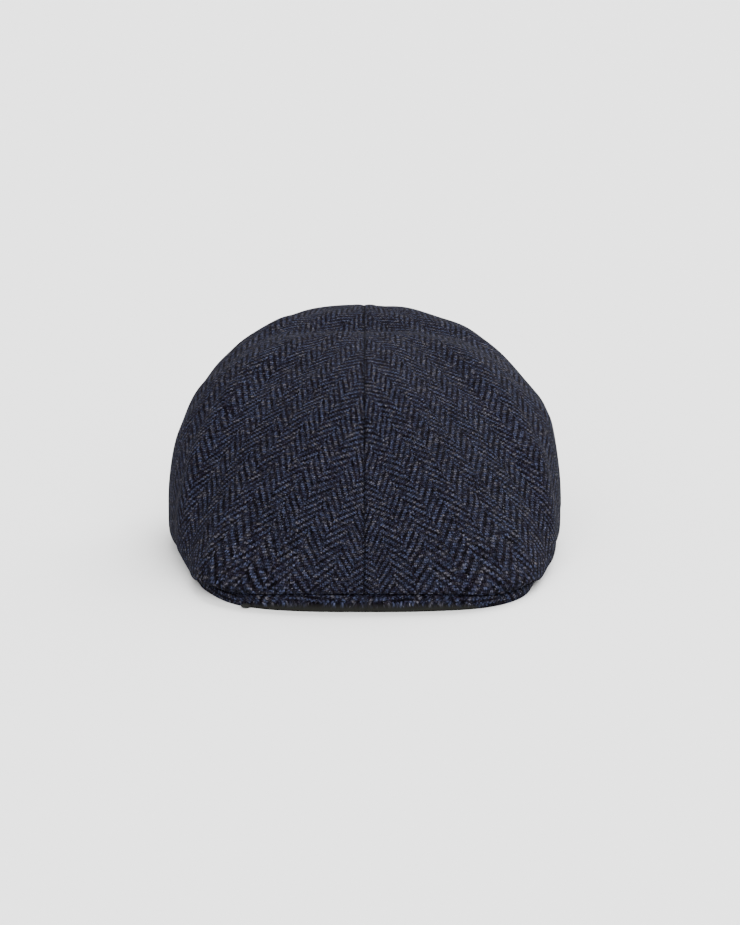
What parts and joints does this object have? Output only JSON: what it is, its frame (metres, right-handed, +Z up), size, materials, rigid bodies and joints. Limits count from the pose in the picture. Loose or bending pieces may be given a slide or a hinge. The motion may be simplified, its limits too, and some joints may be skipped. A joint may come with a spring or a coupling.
{
  "type": "flat cap",
  "caption": "Flat cap of dark blue herringbone wool: a rounded crown whose front runs over a short stiff peak, with a centre seam and an open rim.",
  "frame": {"origin": "middle of the bounding box in plan, on the surface the cap rests on", "axes": "+Z up, the peak points to -Y, +X is the wearer's left"},
  "size_m": [0.2072, 0.2666, 0.111],
  "materials": {
    "crown_cloth": "dark blue wool herringbone, slightly fuzzy",
    "peak_cloth": "the same wool over a stiff board",
    "band_cloth": "plain dark woven band"
  },
  "bodies": {
    "root": {"crown_left": "crown_cloth", "crown_right": "crown_cloth", "peak": "peak_cloth", "inner_band": "band_cloth"}
  },
  "joints": []
}
